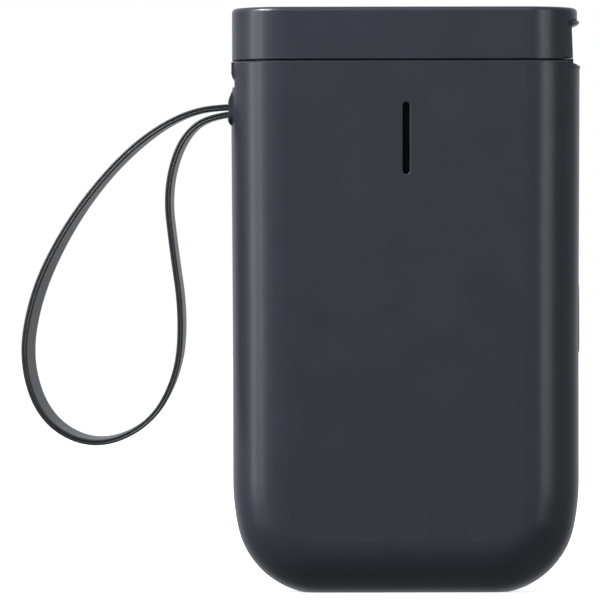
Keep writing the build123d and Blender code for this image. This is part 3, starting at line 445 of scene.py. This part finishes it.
def card_finish():
    """Kraft card core: short fibres, and plies in its ends."""
    finish = Finish("card", 0.8)
    fibres = finish.noise(0.5 * MM, 6.0, (1, 4, 1))
    plain = finish.ramp(fibres, (0.36, 0.25, 0.14), (0.50, 0.37, 0.23))
    plies = finish.ramp(finish.rings(ROLL_CENTRE, 0.3 * MM), (0.26, 0.17, 0.09), (0.47, 0.35, 0.21))
    finish.colour(finish.blend(finish.facing_y(), plain, plies))
    finish.rough(fibres, 0.72, 0.9)
    finish.bump(fibres, 0.02 * MM)
    return finish


def rubber_finish():
    """Ground silicone roller with the fine lines of its grinding round it."""
    finish = Finish("rubber", 0.55)
    ground = finish.noise(0.2 * MM, 3.0, (6, 1, 6))
    finish.colour(finish.ramp(ground, (0.016, 0.016, 0.017), (0.028, 0.028, 0.030)))
    finish.rough(ground, 0.48, 0.64)
    finish.bump(ground, 0.008 * MM)
    return finish


def board_finish():
    """Green solder mask over copper: runs of tracks, and small bright pads at the vias."""
    finish = Finish("board", 0.3)
    tracks = finish.lines(1.1 * MM, "X", 3.0)
    mask = finish.ramp(tracks, (0.006, 0.055, 0.022), (0.012, 0.105, 0.045), 0.42, 0.50)
    pads = finish.ramp(finish.cells(4 * MM), 1.0, 0.0, 0.085, 0.10)
    copper = finish.ramp(finish.noise(0.5 * MM), (0.50, 0.42, 0.24), (0.62, 0.54, 0.34))
    finish.colour(finish.blend(pads, mask, copper))
    finish.rough(finish.noise(2 * MM), 0.24, 0.38)
    finish.bump(tracks, 0.02 * MM)
    return finish


def ceramic_finish():
    """Glazed alumina strip, finely speckled, darker along the glaze of its heater line."""
    finish = Finish("ceramic", 0.25)
    speckle = finish.ramp(finish.noise(0.12 * MM, 2.0), (0.50, 0.44, 0.34), (0.68, 0.62, 0.50))
    glaze = finish.ramp(finish.noise(0.3 * MM), (0.14, 0.09, 0.05), (0.22, 0.15, 0.09))
    finish.colour(finish.blend(finish.band("X", HEATER_LINE_X, 0.5 * MM), speckle, glaze))
    finish.rough(finish.noise(0.6 * MM), 0.18, 0.34)
    finish.bump(finish.noise(0.2 * MM), 0.002 * MM)
    return finish


def pouch_finish():
    """Laminated pouch film, drawn tight over the cell, with soft creases."""
    finish = Finish("cell", 0.32, Metallic=0.8)
    finish.colour(finish.ramp(finish.noise(12 * MM, 2.0), (0.34, 0.35, 0.37), (0.44, 0.45, 0.47)))
    finish.rough(finish.noise(0.5 * MM, 4.0, (1, 1, 5)), 0.26, 0.42)
    finish.bump(finish.noise(7 * MM, 3.0, (1, 1, 3)), 0.12 * MM)
    return finish


def foam_finish():
    """Closed-cell foam pad."""
    finish = Finish("foam", 0.9)
    cells = finish.cells(0.5 * MM)
    finish.colour(finish.ramp(cells, (0.010, 0.010, 0.010), (0.030, 0.030, 0.031)))
    finish.rough(cells, 0.82, 0.97)
    finish.bump(cells, 0.08 * MM)
    return finish


def wire_finish():
    """Silicone lead insulation, red and black by turns across the leads."""
    finish = Finish("wire_skin", 0.45)
    turns = finish.lines(LEAD_PITCH, "X")
    finish.colour(finish.ramp(turns, (0.012, 0.012, 0.013), (0.36, 0.015, 0.012), 0.49, 0.51))
    finish.rough(finish.noise(0.4 * MM), 0.38, 0.55)
    finish.bump(finish.noise(0.3 * MM, 2.0, (1, 1, 4)), 0.01 * MM)
    return finish


def ribbon_finish():
    """Amber polyimide film over copper conductors."""
    finish = Finish("ribbon", 0.28)
    conductors = finish.lines(0.5 * MM, "Y")
    finish.colour(finish.ramp(conductors, (0.32, 0.13, 0.02), (0.58, 0.28, 0.07), 0.4, 0.6))
    finish.rough(finish.noise(1 * MM), 0.2, 0.36)
    finish.bump(conductors, 0.01 * MM)
    return finish


def light_finish():
    """Moulded clear pipe with a frosted skin."""
    finish = Finish("light", 0.3, Transmission_Weight=0.6, IOR=1.49)
    finish.colour(finish.ramp(finish.noise(0.6 * MM), (0.70, 0.74, 0.78), (0.82, 0.86, 0.90)))
    finish.rough(finish.noise(0.3 * MM), 0.22, 0.42)
    finish.bump(finish.noise(0.2 * MM), 0.004 * MM)
    return finish


def spangled_tin():
    """Tin plate: large faint crystals over a rolled sheen."""
    finish = Finish("tin", 0.3, Metallic=1.0)
    finish.colour(finish.ramp(finish.cells(2.2 * MM), (0.56, 0.56, 0.55), (0.70, 0.70, 0.69), 0.1, 0.8))
    finish.rough(finish.noise(0.3 * MM, 3.0, (1, 1, 6)), 0.22, 0.42)
    finish.bump(finish.noise(0.8 * MM, 3.0), 0.004 * MM)
    return finish


def make_finishes():
    """Every finish by its slot's name, and the strap's edge paint under its own."""
    made = [
        moulded("case_plastic", CASE_DARK, CASE_LIGHT, CASE_ROUGHNESS),
        moulded("lid_plastic", LID_DARK, LID_LIGHT, CASE_ROUGHNESS),
        moulded("chassis_plastic", (0.012, 0.012, 0.014), (0.020, 0.020, 0.022), 0.5, 0.5 * MM, 0.01 * MM),
        moulded("white_plastic", (0.66, 0.65, 0.61), (0.74, 0.73, 0.69), 0.36, 0.4 * MM, 0.004 * MM),
        moulded("chip", (0.010, 0.010, 0.010), (0.018, 0.018, 0.018), 0.6, 0.15 * MM, 0.008 * MM),
        metal("steel", (0.46, 0.46, 0.47), (0.60, 0.60, 0.61), 0.3, (1, 1, 1)),
        metal("black_steel", (0.016, 0.016, 0.017), (0.034, 0.034, 0.036), 0.38, (1, 5, 1)),
        metal("aluminium", (0.62, 0.63, 0.64), (0.76, 0.77, 0.78), 0.34, (1, 14, 1)),
        lens_finish(), foil_finish(), strap_face_finish(), strap_edge_finish(), paper_finish(),
        card_finish(), rubber_finish(), board_finish(), ceramic_finish(), pouch_finish(),
        foam_finish(), wire_finish(), ribbon_finish(), light_finish(), spangled_tin(),
    ]
    return {finish.name: finish for finish in made}


def dress(finishes):
    """Gives each CAD node the finish of its slot, and stops if a slot has none."""
    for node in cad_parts.values():
        slot_name = node.data.materials[0].name
        node.material_slots[0].material = finishes[slot_name].material


# ---------------------------------------------------------------- studio

def aimed(place, target):
    """A matrix that stands at place and looks along -Z at the target."""
    turn = (target - place).to_track_quat("-Z", "Y").to_matrix().to_4x4()
    return Matrix.Translation(place) @ turn


def make_softboxes():
    target = Vector((0.0, 0.0, AIM_HEIGHT))
    for name, (turn, rise, distance, width, height, power) in SOFTBOXES.items():
        a = math.radians(turn)
        e = math.radians(rise)
        out = Vector((math.sin(a) * math.cos(e), -math.cos(a) * math.cos(e), math.sin(e)))
        data = bpy.data.lights.new(name, "AREA")
        data.shape = "RECTANGLE"
        data.size = width
        data.size_y = height
        data.energy = power
        data.color = SOFTBOX_TINT
        lamp = bpy.data.objects.new(name, data)
        lamp.matrix_world = aimed(target + out * distance, target)
        lamp.visible_camera = False
        bpy.context.scene.collection.objects.link(lamp)


def make_world():
    """White to the camera. To the object it is a soft backdrop behind it, in a dim, slightly cool
    room that is darker below than above."""
    world = bpy.data.worlds.new("studio")
    bpy.context.scene.world = world
    world.use_nodes = True
    tree = world.node_tree
    tree.nodes.clear()

    def slope(source, start, end, low, high):
        made = tree.nodes.new("ShaderNodeMapRange")
        made.interpolation_type = "SMOOTHSTEP"
        for socket, value in zip(("From Min", "From Max", "To Min", "To Max"), (start, end, low, high)):
            made.inputs[socket].default_value = value
        tree.links.new(source, made.inputs["Value"])
        return made.outputs["Result"]

    place = tree.nodes.new("ShaderNodeTexCoord")
    split = tree.nodes.new("ShaderNodeSeparateXYZ")
    tree.links.new(place.outputs["Generated"], split.inputs["Vector"])
    edge = math.cos(math.radians(BACKDROP_EDGE_ANGLE))
    full = math.cos(math.radians(BACKDROP_FULL_ANGLE))
    backdrop = slope(split.outputs["Y"], edge, full, 0.0, BACKDROP_BRIGHTNESS)
    around = slope(split.outputs["Z"], -ROOM_BLEND, ROOM_BLEND, ROOM_BELOW, ROOM_ABOVE)
    total = tree.nodes.new("ShaderNodeMath")
    tree.links.new(backdrop, total.inputs[0])
    tree.links.new(around, total.inputs[1])
    room = tree.nodes.new("ShaderNodeBackground")
    room.inputs["Color"].default_value = ROOM_TINT
    tree.links.new(total.outputs["Value"], room.inputs["Strength"])
    white = tree.nodes.new("ShaderNodeBackground")
    white.inputs["Color"].default_value = (1.0, 1.0, 1.0, 1.0)
    path = tree.nodes.new("ShaderNodeLightPath")
    choose = tree.nodes.new("ShaderNodeMixShader")
    tree.links.new(path.outputs["Is Camera Ray"], choose.inputs["Fac"])
    tree.links.new(room.outputs["Background"], choose.inputs[1])
    tree.links.new(white.outputs["Background"], choose.inputs[2])
    output = tree.nodes.new("ShaderNodeOutputWorld")
    tree.links.new(choose.outputs["Shader"], output.inputs["Surface"])


def flat_piece(name, corners, material):
    mesh = bpy.data.meshes.new(name)
    mesh.from_pydata(corners, [], [tuple(range(len(corners)))])
    mesh.materials.append(material)
    made = bpy.data.objects.new(name, mesh)
    bpy.context.scene.collection.objects.link(made)
    return made


def make_floor():
    """A plain pale floor that takes a soft shadow but throws no light back up."""
    finish = Finish("floor", 0.6, Emission_Strength=FLOOR_GLOW)
    finish.shader.inputs["Emission Color"].default_value = (1.0, 1.0, 1.0, 1.0)
    finish.colour(finish.ramp(finish.noise(0.02), (0.80, 0.80, 0.80), (0.82, 0.82, 0.82)))
    h = FLOOR_HALF_SIZE
    floor = flat_piece("floor", [(-h, -h, 0), (h, -h, 0), (h, h, 0), (-h, h, 0)], finish.material)
    floor.visible_diffuse = False
    floor.visible_glossy = False


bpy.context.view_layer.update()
make_camera()
strap = make_strap()
finishes = make_finishes()
dress(finishes)
for slot_name in ("strap", "strap_edge"):
    strap.data.materials.append(finishes[slot_name].material)
make_world()
make_softboxes()
make_floor()
